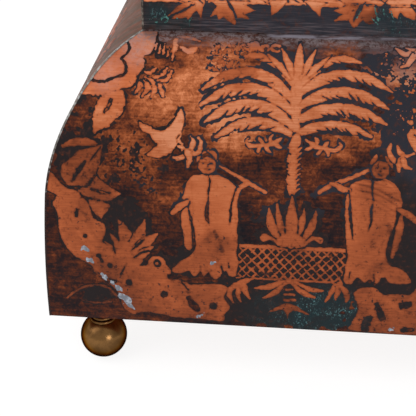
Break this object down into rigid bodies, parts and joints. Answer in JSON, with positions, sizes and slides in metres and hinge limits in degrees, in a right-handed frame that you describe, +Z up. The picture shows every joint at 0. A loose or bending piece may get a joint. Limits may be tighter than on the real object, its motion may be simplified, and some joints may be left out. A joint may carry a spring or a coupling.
{
  "type": "copper keepsake box",
  "caption": "Bombe copper box for papers and keepsakes on turned brass ball feet, with a folded hipped lid on a rear piano hinge.",
  "frame": {"origin": "on the table, under the middle of the box", "axes": "+X to the viewer's right along the front, +Y to the back where the hinge is, +Z up"},
  "size_m": [0.3164, 0.2642, 0.2809],
  "materials": {
    "etched_copper": "satin, etched and patinated",
    "plain_copper": "satin, aged",
    "solder": "satin",
    "aged_brass": "polished, aged",
    "steel": "satin",
    "board_wood": "raw",
    "felt": "matte"
  },
  "bodies": {
    "case": {"front_panel": "etched_copper", "rear_panel": "etched_copper", "left_panel": "etched_copper", "right_panel": "etched_copper", "base_plate": "plain_copper", "neck_collar": "plain_copper", "seam_front_left": "solder", "seam_front_right": "solder", "seam_rear_left": "solder", "seam_rear_right": "solder", "foot_front_left": "aged_brass", "foot_front_right": "aged_brass", "foot_rear_left": "aged_brass", "foot_rear_right": "aged_brass", "hinge_case_leaf": "aged_brass", "hinge_case_rivets": "aged_brass", "foot_studs": "steel", "foot_washers": "steel", "foot_nuts": "steel", "hinge_pin": "steel", "base_board": "board_wood", "floor_felt": "felt"},
    "lid": {"lid_front_panel": "etched_copper", "lid_rear_panel": "etched_copper", "lid_left_panel": "etched_copper", "lid_right_panel": "etched_copper", "lid_top_plate": "etched_copper", "lid_seam_front_left": "solder", "lid_seam_front_right": "solder", "lid_seam_rear_left": "solder", "lid_seam_rear_right": "solder", "finial": "aged_brass", "finial_stud": "steel", "finial_washer": "steel", "finial_nut": "steel", "hinge_lid_leaf": "aged_brass", "hinge_lid_rivets": "aged_brass"}
  },
  "joints": [
    {"name": "lid_hinge", "type": "hinge", "parent": "case", "child": "lid", "pos_m": [0, 0.0748, 0.22241], "axis": [-1, 0, 0], "range_deg": [0, 124]}
  ]
}
